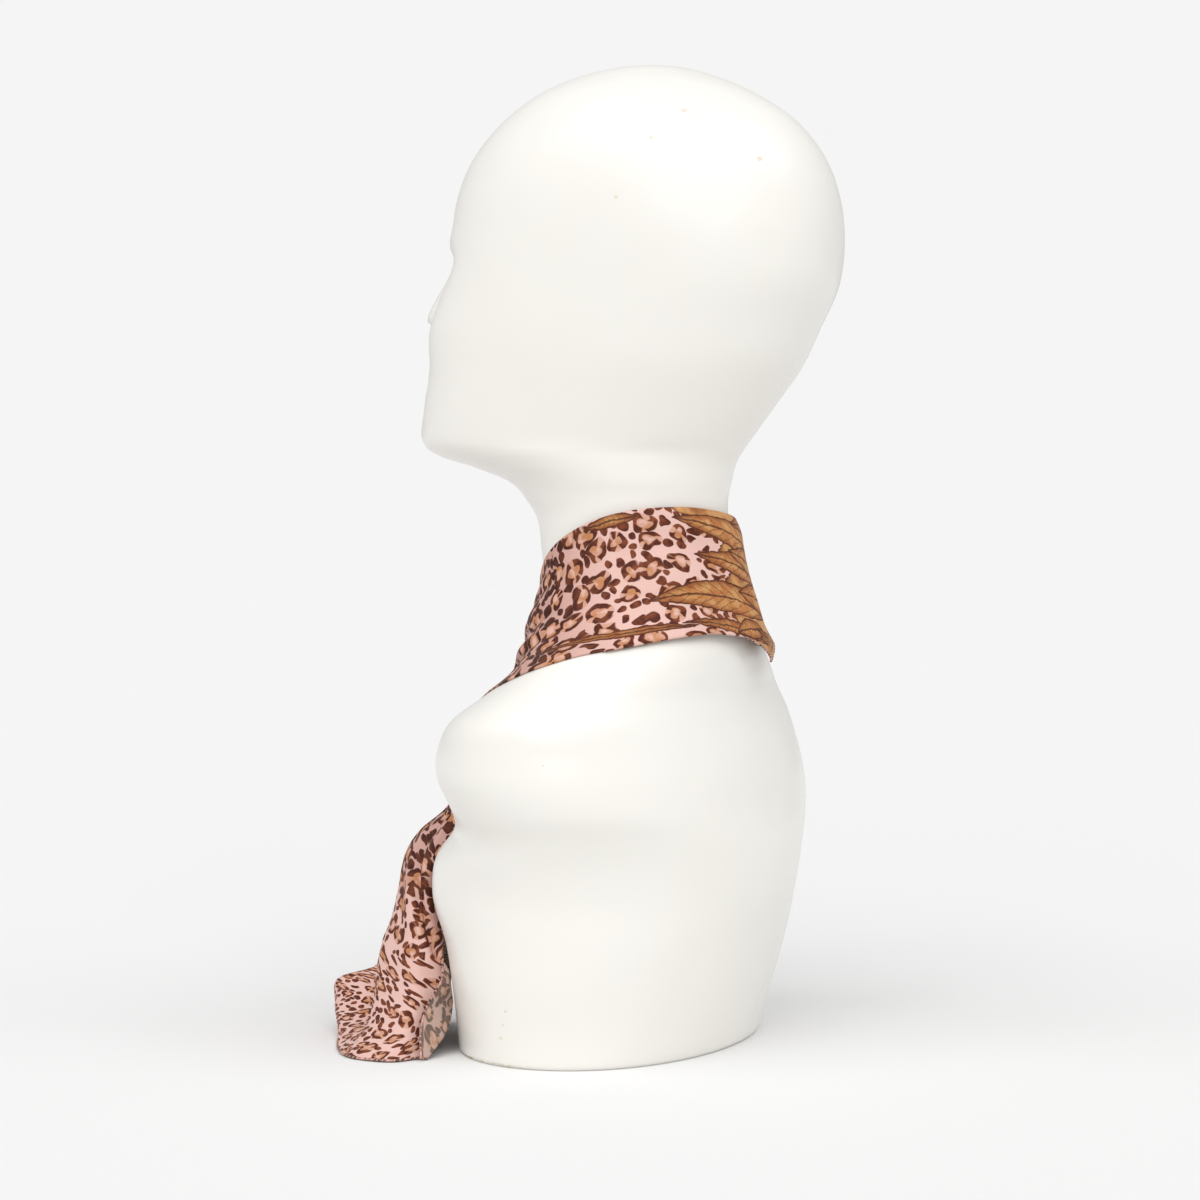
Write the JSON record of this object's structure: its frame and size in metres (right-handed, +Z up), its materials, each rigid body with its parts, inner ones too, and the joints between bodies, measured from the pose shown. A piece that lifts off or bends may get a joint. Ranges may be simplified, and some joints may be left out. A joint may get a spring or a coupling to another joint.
{
  "type": "foulard on a display bust",
  "caption": "Printed square foulard folded into a band, knotted round the neck of a smooth limbless display bust, with its ends hanging over the chest.",
  "frame": {"origin": "middle of the bust's base, on the plane it stands on", "axes": "+Z up, the bust faces -Y, its left side is +X"},
  "size_m": [0.3022, 0.2939, 0.5597],
  "materials": {
    "form_white": "glossy off-white lacquer",
    "printed_twill": "light printed twill with a soft sheen"
  },
  "bodies": {
    "root": {"bust_form": "form_white", "neck_wrap": "printed_twill", "knot": "printed_twill", "left_tail": "printed_twill", "right_tail": "printed_twill"}
  },
  "joints": []
}
